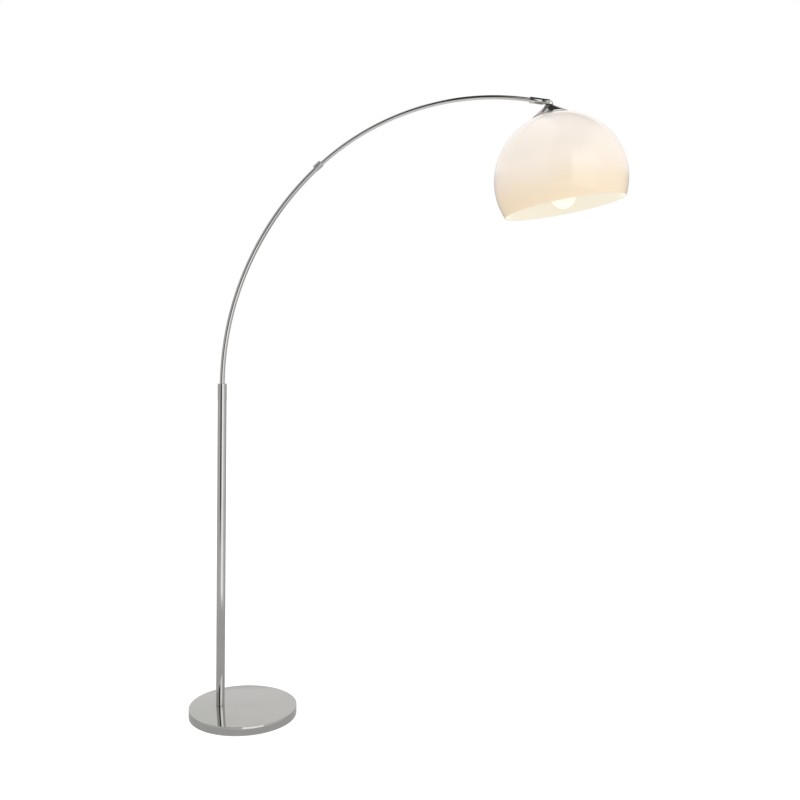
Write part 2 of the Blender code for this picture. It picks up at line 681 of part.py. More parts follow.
def make_shade(looks, tilt):
    inner_top = CAP_TOP - CAP_WALL
    hole = HUB_R + GAP
    outline = [(hole, CAP_TOP), (CAP_TOP_R, CAP_TOP), (CAP_R, CAP_RIM_TOP), (CAP_R, CAP_RIM)]
    outline += [(CAP_R - CAP_WALL, CAP_RIM), (CAP_R - CAP_WALL, CAP_RIM_TOP - 0.5 * MM)]
    outline += [(CAP_TOP_R - 0.5 * MM, inner_top), (hole, inner_top)]
    turned("shade_cap", outline, looks["chrome"], SHADE_SIDES, parent=tilt)

    inner_r = SHADE_R - SHADE_WALL
    rim_drop = SHADE_CENTRE - SHADE_RIM
    top_angle = math.acos(SHADE_HOLE_R / SHADE_R)
    rim_angle = -math.asin(rim_drop / SHADE_R)
    outer = arc_points((0, SHADE_CENTRE), SHADE_R, top_angle, rim_angle, SHADE_STEPS)
    top_angle = math.acos(SHADE_HOLE_R / inner_r)
    rim_angle = -math.asin(rim_drop / inner_r)
    inner = arc_points((0, SHADE_CENTRE), inner_r, rim_angle, top_angle, SHADE_STEPS)
    turned("shade", outer + inner, looks["opal"], SHADE_SIDES, parent=tilt)


def make_stem(looks, tilt):
    steel, chrome = looks["steel"], looks["chrome"]
    bore = STUD_R + GAP
    disc_low = DISC_TOP - DISC_THICK
    nut_top = disc_low - GAP
    nut_low = nut_top - STEM_NUT_HIGH
    pipe("clamp_disc", DISC_R, bore, disc_low, DISC_TOP, steel, MEDIUM, parent=tilt)
    hex_nut("clamp_nut", STEM_NUT_FLATS, bore, nut_low, nut_top, steel, parent=tilt)
    pipe("stem_tube", STUD_R, STUD_BORE, STEM_END, STEM_TOP, steel, SMALL, parent=tilt)
    low, high = HOLDER_TOP + GAP, nut_low - GAP
    pipe("stem_sleeve", STEM_SLEEVE_R, STEM_SLEEVE_BORE, low, high, chrome, SMALL, parent=tilt)


def make_holder(looks, tilt):
    plastic, brass = looks["black"], looks["brass"]
    wall = HOLDER_WALL
    hole = STUD_R + GAP
    shoulder = HOLDER_TOP - 9 * MM
    outline = [(hole, HOLDER_TOP), (10 * MM, HOLDER_TOP), (HOLDER_R, shoulder), (HOLDER_R, HOLDER_SEAM)]
    outline += [(HOLDER_R - wall, HOLDER_SEAM), (HOLDER_R - wall, shoulder - 1 * MM)]
    outline += [(9 * MM, HOLDER_TOP - wall), (hole, HOLDER_TOP - wall)]
    turned("holder_dome", outline, plastic, MEDIUM, parent=tilt)
    skirt_top = HOLDER_SEAM - GAP
    pipe("holder_skirt", HOLDER_R, HOLDER_R - wall, HOLDER_END, skirt_top, plastic, MEDIUM, parent=tilt)
    core_top = HOLDER_SEAM - 2 * MM
    core_low = core_top - 9.5 * MM
    core_r = HOLDER_R - wall - GAP
    core = rod("holder_core", core_r, core_low, core_top, looks["nylon"], MEDIUM, parent=tilt)
    half, deep, clear = 3.3 * MM, core_low + 2.5 * MM, core_low - 2 * MM
    slot = [(-half, clear), (half, clear), (half, deep), (-half, deep)]
    cut(core, prism("cut_core_slot", slot, -2.4 * MM, 2.4 * MM, plastic, parent=tilt))
    pipe("screw_shell", SHELL_R, SHELL_BORE, SHELL_END, core_low - GAP, brass, MEDIUM, parent=tilt)
    low = BULB_TIP + 0.4 * MM
    spring = [(-2.8 * MM, core_low + 2.1 * MM), (-2.8 * MM, core_low + 1.3 * MM)]
    spring += [(-1.2 * MM, core_low + 1.1 * MM), (0.8 * MM, low), (2.8 * MM, low), (2.8 * MM, low + 0.8 * MM)]
    spring += [(1.3 * MM, low + 0.8 * MM), (-0.6 * MM, core_low + 2.1 * MM)]
    prism("centre_contact", spring, -2 * MM, 2 * MM, brass, parent=tilt)
    for number, side in ((1, -1), (2, 1)):
        at = {"parent": tilt, "location": (0, side * 9.5 * MM, 0)}
        low = core_top + GAP
        rod(f"terminal_screw_{number}", 2.2 * MM, low, low + 1.6 * MM, brass, TINY, **at)


def make_bulb(looks, tilt):
    neck = BULB_CAP_R - 0.8 * MM
    outline = [(BULB_CAP_R, BULB_CAP_TOP - 0.8 * MM), (neck, BULB_CAP_TOP), (BULB_CAP_BORE, BULB_CAP_TOP)]
    outline += [(BULB_CAP_BORE, BULB_CAP_LOW), (BULB_CAP_R, BULB_CAP_LOW)]
    turned("bulb_cap", outline, looks["nickel"], MEDIUM, parent=tilt)
    tip = BULB_TIP
    outline = [(3.6 * MM, tip - 1.4 * MM), (5.2 * MM, tip - 1.8 * MM), (11.2 * MM, tip - 4.2 * MM)]
    outline += [(11.2 * MM, tip - 6.2 * MM), (3.6 * MM, tip - 6.2 * MM)]
    turned("bulb_insulator", outline, looks["black"], MEDIUM, parent=tilt)
    outline = [(0, tip), (3.0 * MM, tip - 0.4 * MM), (4.6 * MM, tip - 1.2 * MM), (3.2 * MM, tip - 1.2 * MM)]
    outline += [(3.2 * MM, tip - 6.0 * MM), (0, tip - 6.0 * MM)]
    turned("bulb_contact", outline, looks["brass"], SMALL, parent=tilt)

    centre = BULB_END + BULB_R
    seat = BULB_CAP_LOW - GAP
    waist = [(BULB_NECK_R, BULB_NECK_TOP), (BULB_NECK_R, seat), (13.2 * MM, seat - 1 * MM)]
    waist += [(14.0 * MM, -188 * MM), (16.8 * MM, -200 * MM)]
    start = math.asin((BULB_WAIST - centre) / BULB_R)
    outside = arc_points((0, centre), BULB_R, start, -math.pi / 2, GLOBE_STEPS)
    inside = arc_points((0, centre), BULB_R - BULB_WALL, -math.pi / 2, start, GLOBE_STEPS)
    outline = [(0, BULB_END + BULB_WALL)] + inside[1:] + [(r - BULB_WALL, z) for r, z in reversed(waist)]
    outline += waist + outside[:-1] + [(0, BULB_END)]
    turned("bulb_glass", outline, looks["bulb"], MEDIUM, parent=tilt)


def make_head_lead(looks, swivel):
    """The cores leave the fork's end, loop down beside the tongue and run inside the stem."""
    in_fork = [tip_point(u * MM, v * MM) for u, v in ((17.2, 0), (20, 0.1), (30, 2.0), (40, 3.9))]
    in_fork += [tip_point(u * MM, v * MM) for u, v in ((44.5, 4.25), (50.5, 4.1))]
    loop = [(7.6, 3.0), (9.9, 0.7), (10.4, -1.7), (9.3, -3.7), (7.4, -5.3), (4.3, -7.9), (1.6, -10.3)]
    loop += [(0.3, -13.4), (0, -18), (0, -60), (0, -141)]
    in_head = [head_point(s * MM, z * MM) for s, z in loop]
    lead("lead_in_head", smooth_route(in_fork + in_head, 2), CORE_R, looks["clear"], swivel)


def make_looks():
    return {
        "chrome": material("chrome", (0.80, 0.80, 0.79), 0.06, 1.0),
        "satin": material("satin_chrome", (0.58, 0.58, 0.57), 0.35, 1.0),
        "dark": material("black_chrome", (0.12, 0.12, 0.12), 0.18, 1.0),
        "steel": material("zinc_steel", (0.62, 0.62, 0.60), 0.35, 1.0),
        "nickel": material("nickel", (0.70, 0.68, 0.64), 0.25, 1.0),
        "brass": material("brass", (0.76, 0.60, 0.30), 0.30, 1.0),
        "iron": material("cast_iron", (0.16, 0.16, 0.16), 0.75, 0.3),
        "felt": material("felt", (0.06, 0.06, 0.06), 0.95),
        "rubber": material("rubber", (0.03, 0.03, 0.03), 0.70),
        "nylon": material("nylon", (0.85, 0.84, 0.80), 0.45),
        "black": material("black_plastic", (0.03, 0.03, 0.03), 0.35),
        "sheath": material("lead_sheath", (0.80, 0.80, 0.78), 0.45),
        "clear": material("clear_lead", (0.78, 0.80, 0.78), 0.20),
        "opal": material("opal_acrylic", (0.96, 0.89, 0.78), 0.25, emission=0.4),
        "bulb": material("bulb_glass", (1.0, 0.98, 0.90), 0.20, emission=2.0),
    }


def main():
    clear_scene()
    looks = make_looks()
    make_base(looks)
    make_pole(looks)
    swivel = empty("swivel_axis", (POLE_X, 0, 0))
    tip = make_arm(looks, swivel)
    sleeve_slope = TIP_ANGLE - math.pi / 2
    tilt = empty("tilt_axis", (PIVOT_U, 0, PIVOT_V), -(HEAD_TILT + sleeve_slope), tip)
    make_head(looks, tilt)
    make_head_lead(looks, swivel)


main()
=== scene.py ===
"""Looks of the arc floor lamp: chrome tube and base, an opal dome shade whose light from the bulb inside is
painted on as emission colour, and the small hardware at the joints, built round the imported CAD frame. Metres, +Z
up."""

import json
import math

import bmesh
import bpy
from mathutils import Matrix, Vector


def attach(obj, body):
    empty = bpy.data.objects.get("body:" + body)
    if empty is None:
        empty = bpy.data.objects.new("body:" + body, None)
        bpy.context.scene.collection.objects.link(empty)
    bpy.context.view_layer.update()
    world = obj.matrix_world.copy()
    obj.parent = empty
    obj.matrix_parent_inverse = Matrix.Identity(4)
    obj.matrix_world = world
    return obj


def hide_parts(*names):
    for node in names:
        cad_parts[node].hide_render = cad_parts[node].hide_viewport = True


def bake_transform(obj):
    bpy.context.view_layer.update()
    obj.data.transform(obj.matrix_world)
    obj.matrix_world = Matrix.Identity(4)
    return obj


MM = 0.001

# Sizes that the frame's pieces have
POLE_X = -58.6 * MM
POLE_R = 11.1 * MM
POLE_BORE = 9.6 * MM
POLE_SEAM = 839.5 * MM
POLE_TOP = 848.0 * MM
BUSH_SCREW_Z = 771 * MM
BASE_R = 136.5 * MM
BASE_TOP = 22.8 * MM
COVER_WALL = 1.2 * MM
COVER_LIP = 1.0 * MM
PAD_R = 133 * MM
PAD_THICK = 2.0 * MM
LOWER_TUBE_R = 6.0 * MM
UPPER_TUBE_R = 5.0 * MM
TUBE_WALL = 1.0 * MM
SPRING_Z = 842.5 * MM
SWIVEL_END = 757 * MM
LOWER_BEND = 757.4 * MM
UPPER_BEND = 642.1 * MM
COLLAR_ANGLE = math.radians(46.5)
TIP_ANGLE = math.radians(96.95)
COLLAR_R = 8.4 * MM
COLLAR_HALF = 10.25 * MM
COLLAR_OFFSET = 1.4 * MM
SLEEVE_R = 7.65 * MM
HEAD_TILT = 0.187
PIVOT_U = 47.5 * MM
PIVOT_V = -1.5 * MM
SHADE_R = 165 * MM
SHADE_WALL = 2.5 * MM
SHADE_CENTRE = -191.3 * MM
SHADE_RIM = SHADE_CENTRE - 67 * MM
SHADE_HOLE_R = 16 * MM
BULB_R = 30 * MM
BULB_END = -262.3 * MM
GLAND_ANGLE = math.radians(115)
GLAND_Z = 8.5 * MM
GLAND_HOLE_R = 4.5 * MM
GLAND_NECK_R = 4.1 * MM
GLAND_FLANGE_R = 6.3 * MM
GLAND_BORE = 2.6 * MM
TIP_STRAIGHT = 12.5 * MM
KNUCKLE_R = 12.5 * MM
CONE_R = 44.3 * MM
LEAD_R = 1.2 * MM
FIT = 0.3 * MM
M3_R = 1.5 * MM
M3_CLEAR = 1.8 * MM
M10_CLEAR = 5.3 * MM

# Share of the world's light that reaches matt surfaces, and the floor's own brightness
ROOM_FILL = 0.14
FLOOR_GLOW = 0.95
FLOOR_R = 14

# Edges that turn by more than this are shaded sharp
SHARP = math.radians(32)
CAD_SHARP = math.radians(35)

# Camera at the photograph's viewing angle
CAMERA_PLACE = (0.38956, -2.23315, 0.93732)
CAMERA_PITCH = 0.055
CAMERA_ROLL = 0.017
LENS_MM = 39.94

# Sides and steps of turned and swept pieces
FINE = 192
ROUND = 96
SMALL = 48
TUBE_SIDES = 48
HEXAGON = 6
BEND_STEPS = 110
SHADE_STEPS = 72
GLOBE_STEPS = 40


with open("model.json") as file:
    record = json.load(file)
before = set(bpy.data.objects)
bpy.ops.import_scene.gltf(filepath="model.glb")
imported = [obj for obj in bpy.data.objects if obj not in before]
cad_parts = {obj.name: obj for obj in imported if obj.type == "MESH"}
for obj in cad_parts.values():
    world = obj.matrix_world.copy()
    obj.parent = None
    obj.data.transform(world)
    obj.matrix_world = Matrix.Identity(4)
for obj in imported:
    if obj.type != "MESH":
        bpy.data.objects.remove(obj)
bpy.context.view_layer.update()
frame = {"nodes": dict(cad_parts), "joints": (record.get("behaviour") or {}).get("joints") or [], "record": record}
joints = {j["name"]: j for j in frame["joints"]}
PIVOT = Vector(joints["shade_tilt"]["pos_m"])


# ---------------------------------------------------------------- node helpers


class Graph:
    """Short calls for building a node tree."""

    def __init__(self, tree):
        self.tree = tree

    def add(self, kind, inputs=None, **settings):
        node = self.tree.nodes.new(kind)
        for key, value in settings.items():
            setattr(node, key, value)
        for key, value in (inputs or {}).items():
            self.feed(node.inputs[key], value)
        return node

    def feed(self, socket, value):
        if isinstance(value, bpy.types.NodeSocket):
            self.tree.links.new(value, socket)
        else:
            socket.default_value = value

    def math(self, operation, a, b=0.0):
        return self.add("ShaderNodeMath", {0: a, 1: b}, operation=operation).outputs[0]

    def step(self, value, low, high, to_low=0.0, to_high=1.0):
        ends = {"Value": value, "From Min": low, "From Max": high, "To Min": to_low, "To Max": to_high}
        return self.add("ShaderNodeMapRange", ends, interpolation_type="SMOOTHSTEP").outputs[0]

    def line(self, value, low, high, to_low, to_high):
        ends = {"Value": value, "From Min": low, "From Max": high, "To Min": to_low, "To Max": to_high}
        return self.add("ShaderNodeMapRange", ends).outputs[0]

    def mix(self, a, b, share):
        """a where share is 0, b where it is 1."""
        node = self.add("ShaderNodeMix", data_type="FLOAT")
        self.feed(node.inputs["Factor"], share)
        self.feed(node.inputs["A"], a)
        self.feed(node.inputs["B"], b)
        return node.outputs["Result"]

    def ramp(self, value, stops):
        node = self.add("ShaderNodeValToRGB", {"Fac": value})
        node.color_ramp.interpolation = "EASE"
        elements = node.color_ramp.elements
        while len(elements) < len(stops):
            elements.new(0.5)
        for element, (place, colour) in zip(elements, stops):
            element.position = place
            element.color = (*colour, 1.0)
        return node.outputs["Color"]

    def noise(self, where, scale, detail=2.0, rough=0.5):
        ends = {"Vector": where, "Scale": scale, "Detail": detail, "Roughness": rough}
        return self.add("ShaderNodeTexNoise", ends).outputs["Fac"]

    def bump(self, height, strength, distance):
        ends = {"Height": height, "Strength": strength, "Distance": distance}
        return self.add("ShaderNodeBump", ends).outputs["Normal"]


def new_material(name):
    made = bpy.data.materials.new(name)
    made.use_nodes = True
    graph = Graph(made.node_tree)
    shader = made.node_tree.nodes["Principled BSDF"]
    place = graph.add("ShaderNodeTexCoord").outputs["Object"]
    return made, graph, shader, place


def metal(name, colour, worn, smooth, rough, grain=160.0, bump=0.006):
    """Plated metal: its tint and roughness drift a little, as polishing and handling leave them."""
    made, graph, shader, place = new_material(name)
    drift = graph.noise(place, 14.0, 3.0)
    shader.inputs["Metallic"].default_value = 1.0
    graph.feed(shader.inputs["Base Color"], graph.ramp(drift, ((0.3, worn), (0.7, colour))))
    smudge = graph.noise(place, 55.0, 5.0, 0.6)
    graph.feed(shader.inputs["Roughness"], graph.step(smudge, 0.35, 0.75, smooth, rough))
    fine = graph.noise(place, grain, 2.0)
    graph.feed(shader.inputs["Normal"], graph.bump(fine, bump, 0.0002))
    return made


def brushed(name, colour, worn, rough, scale):
    """Turned metal with fine rings round the piece's own axis."""
    made, graph, shader, place = new_material(name)
    shader.inputs["Metallic"].default_value = 1.0
    stretched = graph.add("ShaderNodeMapping", {"Vector": place, "Scale": (0.02, 0.02, 1.0)}).outputs[0]
    rings = graph.noise(stretched, scale, 3.0, 0.7)
    graph.feed(shader.inputs["Base Color"], graph.ramp(rings, ((0.3, worn), (0.7, colour))))
    graph.feed(shader.inputs["Roughness"], graph.step(rings, 0.3, 0.7, rough - 0.06, rough + 0.08))
    graph.feed(shader.inputs["Normal"], graph.bump(rings, 0.25, 0.0002))
    return made


def plain(name, dark, light, low, high, scale, bump, metallic=0.0):
    """Moulded or cast stuff with a fine uneven surface."""
    made, graph, shader, place = new_material(name)
    shader.inputs["Metallic"].default_value = metallic
    speck = graph.noise(place, scale, 4.0, 0.6)
    graph.feed(shader.inputs["Base Color"], graph.ramp(speck, ((0.3, dark), (0.7, light))))
    graph.feed(shader.inputs["Roughness"], graph.step(speck, 0.3, 0.7, low, high))
    graph.feed(shader.inputs["Normal"], graph.bump(speck, bump, 0.0005))
    return made


def felt_material():
    made, graph, shader, place = new_material("felt_look")
    fibres = graph.noise(place, 900.0, 6.0, 0.75)
    clumps = graph.noise(place, 60.0, 3.0)
    shade = graph.math("ADD", graph.math("MULTIPLY", fibres, 0.7), graph.math("MULTIPLY", clumps, 0.3))
    stops = ((0.35, (0.012, 0.012, 0.013)), (0.65, (0.06, 0.06, 0.062)))
    graph.feed(shader.inputs["Base Color"], graph.ramp(shade, stops))
    shader.inputs["Roughness"].default_value = 0.95
    shader.inputs["Sheen Weight"].default_value = 0.4
    graph.feed(shader.inputs["Normal"], graph.bump(fibres, 0.8, 0.0006))
    return made


def opal_material(name, top, middle, low, base, strength):
    """Opal acrylic over the bulb: the bulb's light through it is painted on as an emission colour by height,
    warmer towards the rim, under a glossy skin.
    """
    made, graph, shader, place = new_material(name)
    height = graph.add("ShaderNodeSeparateXYZ", {"Vector": place}).outputs["Z"]
    cloud = graph.noise(place, 9.0, 2.0)
    drift = graph.math("ADD", height, graph.line(cloud, 0.0, 1.0, -0.012, 0.012))
    share = graph.line(drift, SHADE_RIM, 0.0, 0.0, 1.0)
    # painted glow: emission colours by height stand in for the bulb's light through the acrylic
    painted_glow = graph.ramp(share, ((0.0, low), (0.45, middle), (0.95, top)))
    graph.feed(shader.inputs["Emission Color"], painted_glow)
    shader.inputs["Emission Strength"].default_value = strength
    duller = [c * 0.985 for c in base]
    graph.feed(shader.inputs["Base Color"], graph.ramp(cloud, ((0.3, base), (0.7, duller))))
    ripple = graph.noise(place, 30.0, 2.0)
    graph.feed(shader.inputs["Roughness"], graph.step(ripple, 0.3, 0.7, 0.16, 0.24))
    graph.feed(shader.inputs["Normal"], graph.bump(ripple, 0.03, 0.0005))
    shader.inputs["Specular IOR Level"].default_value = 0.1
    shader.inputs["Coat Weight"].default_value = 1.0
    shader.inputs["Coat Roughness"].default_value = 0.05
    return made


def bulb_material():
    made, graph, shader, place = new_material("bulb_look")
    height = graph.add("ShaderNodeSeparateXYZ", {"Vector": place}).outputs["Z"]
    share = graph.line(height, BULB_END, BULB_END + 0.09, 1.0, 0.0)
    stops = ((0.0, (0.52, 0.42, 0.26)), (0.45, (0.72, 0.66, 0.52)), (1.0, (0.82, 0.78, 0.64)))
    graph.feed(shader.inputs["Emission Color"], graph.ramp(share, stops))
    shader.inputs["Emission Strength"].default_value = 0.95
    frost = graph.noise(place, 400.0, 3.0)
    graph.feed(shader.inputs["Roughness"], graph.step(frost, 0.3, 0.7, 0.25, 0.4))
    shader.inputs["Base Color"].default_value = (0.40, 0.39, 0.36, 1.0)
    return made


LOOKS = {
    "chrome": metal("chrome_look", (0.60, 0.59, 0.575), (0.56, 0.55, 0.54), 0.035, 0.075),
    "base_chrome": metal("base_chrome_look", (0.58, 0.57, 0.55), (0.555, 0.55, 0.53), 0.03, 0.06),
    "satin_chrome": brushed("satin_look", (0.60, 0.595, 0.585), (0.46, 0.455, 0.45), 0.34, 700.0),
    "black_chrome": metal("black_chrome_look", (0.055, 0.053, 0.05), (0.03, 0.03, 0.03), 0.10, 0.2),
    "zinc_steel": metal("zinc_look", (0.60, 0.60, 0.57), (0.50, 0.49, 0.45), 0.28, 0.42, 500.0, 0.1),
    "nickel": metal("nickel_look", (0.66, 0.63, 0.58), (0.56, 0.53, 0.48), 0.2, 0.32),
    "brass": metal("brass_look", (0.72, 0.53, 0.25), (0.60, 0.42, 0.19), 0.22, 0.38),
    "cast_iron": plain("cast_iron_look", (0.03, 0.03, 0.03), (0.07, 0.07, 0.07), 0.6, 0.85, 260.0, 0.8, 0.3),
    "felt": felt_material(),
    "rubber": plain("rubber_look", (0.015, 0.015, 0.015), (0.03, 0.03, 0.03), 0.6, 0.8, 600.0, 0.2),
    "nylon": plain("nylon_look", (0.78, 0.77, 0.72), (0.84, 0.83, 0.79), 0.4, 0.55, 500.0, 0.1),
    "black_plastic": plain(
        "black_plastic_look", (0.012, 0.012, 0.012), (0.02, 0.02, 0.02), 0.28, 0.42, 700.0, 0.1
    ),
    "lead_sheath": plain("sheath_look", (0.72, 0.72, 0.70), (0.80, 0.80, 0.78), 0.35, 0.5, 400.0, 0.1),
    "clear_lead": plain("clear_lead_look", (0.62, 0.60, 0.56), (0.78, 0.77, 0.74), 0.12, 0.25, 700.0, 0.1),
    # painted glow: the bulb's light through the shade is given as emission colours, top, middle and rim
    "opal_acrylic": opal_material(
        "opal_painted_glow_look", (0.55, 0.495, 0.47), (0.445, 0.37, 0.305), (0.36, 0.22, 0.05), (0.80, 0.765, 0.71), 1.0
    ),
    # painted glow on the inner wall: the bulb's light there is emission colours, brightest towards the rim, over a
    # darkened base colour
    "opal_inside": opal_material(
        "opal_inside_painted_glow_look", (0.53, 0.48, 0.37), (0.66, 0.61, 0.49), (0.71, 0.66, 0.54), (0.28, 0.27, 0.25), 1.0
    ),
    "bulb_glass": bulb_material(),
}


# ---------------------------------------------------------------- mesh helpers


def filleted(outline, radius, steps=4, closed=False):
    """The outline with its corners rounded. A corner's own radius may stand third in its point."""
    points = [(Vector(p[:2]), p[2] * MM if len(p) > 2 else radius) for p in outline]
    count = len(points)
    result = []
    for i, (here, bend) in enumerate(points):
        if bend <= 0 or (not closed and i in (0, count - 1)):
            result.append(here)
            continue
        before, after = points[i - 1][0], points[(i + 1) % count][0]
        towards, onwards = before - here, after - here
        angle = towards.angle(onwards)
        if angle > math.radians(175):
            result.append(here)
            continue
        reach = min(bend / math.tan(angle / 2), 0.45 * towards.length, 0.45 * onwards.length)
        start = here + towards.normalized() * reach
        end = here + onwards.normalized() * reach
        for k in range(steps + 1):
            t = k / steps
            result.append(start * (1 - t) ** 2 + here * 2 * t * (1 - t) + end * t**2)
    return [(p.x, p.y) for p in result]


def arc_points(centre, radius, start, end, steps):
    cx, cz = centre
    turns = [start + (end - start) * i / steps for i in range(steps + 1)]
    return [(cx + radius * math.cos(a), cz + radius * math.sin(a)) for a in turns]


def to_object(name, bm, look, matrix=None):
    bmesh.ops.recalc_face_normals(bm, faces=bm.faces[:])
    mesh = bpy.data.meshes.new(name)
    bm.to_mesh(mesh)
    bm.free()
    mesh.materials.append(LOOKS[look])
    mesh.shade_smooth()
    mesh.set_sharp_from_angle(angle=SHARP)
    made = bpy.data.objects.new(name, mesh)
    bpy.context.collection.objects.link(made)
    if matrix is not None:
        made.matrix_world = matrix
    return made


def turned(name, outline, look, sides, matrix=None, fillet=0.25 * MM):
    """Turned about local Z from (radius, height) points; a ring unless it starts on the axis."""
    solid = outline[0][0] <= 0
    points = filleted(outline, fillet, closed=not solid)
    bm = bmesh.new()
    verts = [bm.verts.new((r, 0, z)) for r, z in points]
    pairs = list(zip(verts, verts[1:]))
    if not solid:
        pairs.append((verts[-1], verts[0]))
    edges = [bm.edges.new(pair) for pair in pairs]
    turn = 2 * math.pi
    geometry = verts + edges
    bmesh.ops.spin(bm, geom=geometry, axis=(0, 0, 1), cent=(0, 0, 0), angle=turn, steps=sides, use_merge=True)
    bmesh.ops.remove_doubles(bm, verts=bm.verts[:], dist=1e-7)
    return to_object(name, bm, look, matrix)


def ring(name, outer, inner, low, high, look, sides, matrix=None, fillet=0.25 * MM):
    outline = [(outer, high), (outer, low), (inner, low), (inner, high)]
    return turned(name, outline, look, sides, matrix, fillet)


def prism(name, outline, low, high, look, matrix=None):
    """A flat outline in local XZ, extruded along Y."""
    bm = bmesh.new()
    face = bm.faces.new([bm.verts.new((x, low, z)) for x, z in outline])
    side = bmesh.ops.extrude_face_region(bm, geom=[face])["geom"]
    moved = [item for item in side if isinstance(item, bmesh.types.BMVert)]
    bmesh.ops.translate(bm, verts=moved, vec=(0, high - low, 0))
    return to_object(name, bm, look, matrix)


def combine(piece, other, operation="DIFFERENCE"):
    """Applies the Boolean at once and removes the helper."""
    step = piece.modifiers.new("step", "BOOLEAN")
    step.operation = operation
    step.solver = "EXACT"
    step.object = other
    bpy.context.view_layer.update()
    graph = bpy.context.evaluated_depsgraph_get()
    baked = bpy.data.meshes.new_from_object(piece.evaluated_get(graph))
    piece.modifiers.clear()
    piece.data = baked
    bpy.data.objects.remove(other)
    baked.shade_smooth()
    baked.set_sharp_from_angle(angle=SHARP)
    return piece


def bored(piece, radius, start, end, matrix, look="chrome", sides=SMALL):
    """The piece with a round hole from start to end along the matrix's local Z."""
    outline = [(0, start), (radius, start), (radius, end), (0, end)]
    return combine(piece, turned("hole", outline, look, sides, matrix, 0))


def swept_tube(name, stations, outer, inner, sides, look):
    """A tube whose centre line runs through the stations, each an (x, z) place and its turn."""
    bm = bmesh.new()
    rings = []
    for (x, z), turn in stations:
        across = Vector((-math.cos(turn), 0, math.sin(turn)))
        pair = []
        for radius in (outer, inner):
            loop = []
            for i in range(sides):
                angle = 2 * math.pi * i / sides
                offset = across * math.cos(angle) + Vector((0, math.sin(angle), 0))
                loop.append(bm.verts.new(Vector((x, 0, z)) + offset * radius))
            pair.append(loop)
        rings.append(pair)
    skins = []
    for before, after in zip(rings, rings[1:]):
        skins.append((before[0], after[0]))
        skins.append((after[1], before[1]))
    skins.append((rings[0][1], rings[0][0]))
    skins.append((rings[-1][0], rings[-1][1]))
    for a, b in skins:
        for i in range(sides):
            j = (i + 1) % sides
            bm.faces.new((a[i], a[j], b[j], b[i]))
    return to_object(name, bm, look, Matrix.Translation((POLE_X, 0, 0)))


def hex_nut(name, across_flats, bore, low, high, look, matrix):
    """A nut with the chamfered corners that a turned hexagon bar has."""
    corner = across_flats / math.sqrt(3)
    turns = [i * math.pi / 3 for i in range(HEXAGON)]
    bm = bmesh.new()
    corners = [(corner * math.cos(turn), corner * math.sin(turn), low) for turn in turns]
    face = bm.faces.new([bm.verts.new(place) for place in corners])
    side = bmesh.ops.extrude_face_region(bm, geom=[face])["geom"]
    moved = [item for item in side if isinstance(item, bmesh.types.BMVert)]
    bmesh.ops.translate(bm, verts=moved, vec=(0, 0, high - low))
    nut = to_object(name, bm, look, matrix)
    over = corner * 1.01
    cut = (corner - across_flats / 2) * 0.55
    flat = across_flats / 2 - 0.1 * MM
    outline = [(0, high), (flat, high), (over, high - cut), (over, low + cut), (flat, low), (0, low)]
    nut = combine(nut, turned("lens", outline, look, SMALL, matrix, 0), "INTERSECT")
    return bored(nut, bore, high + 1 * MM, low - 1 * MM, matrix, look)


def show(piece, body, slot, *nodes):
    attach(piece, body)
    if nodes:
        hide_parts(*nodes)
    return piece


# ---------------------------------------------------------------- frames of the arm and the head


def lower_station(turn):
    x = LOWER_BEND - LOWER_BEND * math.cos(turn)
    return (x, SPRING_Z + LOWER_BEND * math.sin(turn)), turn


def upper_station(turn):
    shift = LOWER_BEND - UPPER_BEND
    centre_x = LOWER_BEND - shift * math.cos(COLLAR_ANGLE)
    centre_z = SPRING_Z + shift * math.sin(COLLAR_ANGLE)
    x = centre_x - UPPER_BEND * math.cos(turn)
    return (x, centre_z + UPPER_BEND * math.sin(turn)), turn


def bend(station, start, end, steps):
    return [station(start + (end - start) * i / steps) for i in range(steps + 1)]


def frame_at(x, z, turn):
    return Matrix.Translation((x, 0, z)) @ Matrix.Rotation(turn, 4, "Y")


ALONG = Matrix.Rotation(math.pi / 2, 4, "Y")
ACROSS = Matrix.Rotation(-math.pi / 2, 4, "X")
AT_POLE = Matrix.Translation((POLE_X, 0, 0))
HEAD = Matrix.Translation(PIVOT) @ Matrix.Rotation(-HEAD_TILT, 4, "Y")
TIP = frame_at(PIVOT.x, PIVOT.z, TIP_ANGLE - math.pi / 2) @ Matrix.Translation((-PIVOT_U, 0, -PIVOT_V))
(collar_x, collar_z), _ = lower_station(COLLAR_ANGLE)
COLLAR = frame_at(POLE_X + collar_x, collar_z, COLLAR_ANGLE - math.pi / 2)


# ---------------------------------------------------------------- base and pole


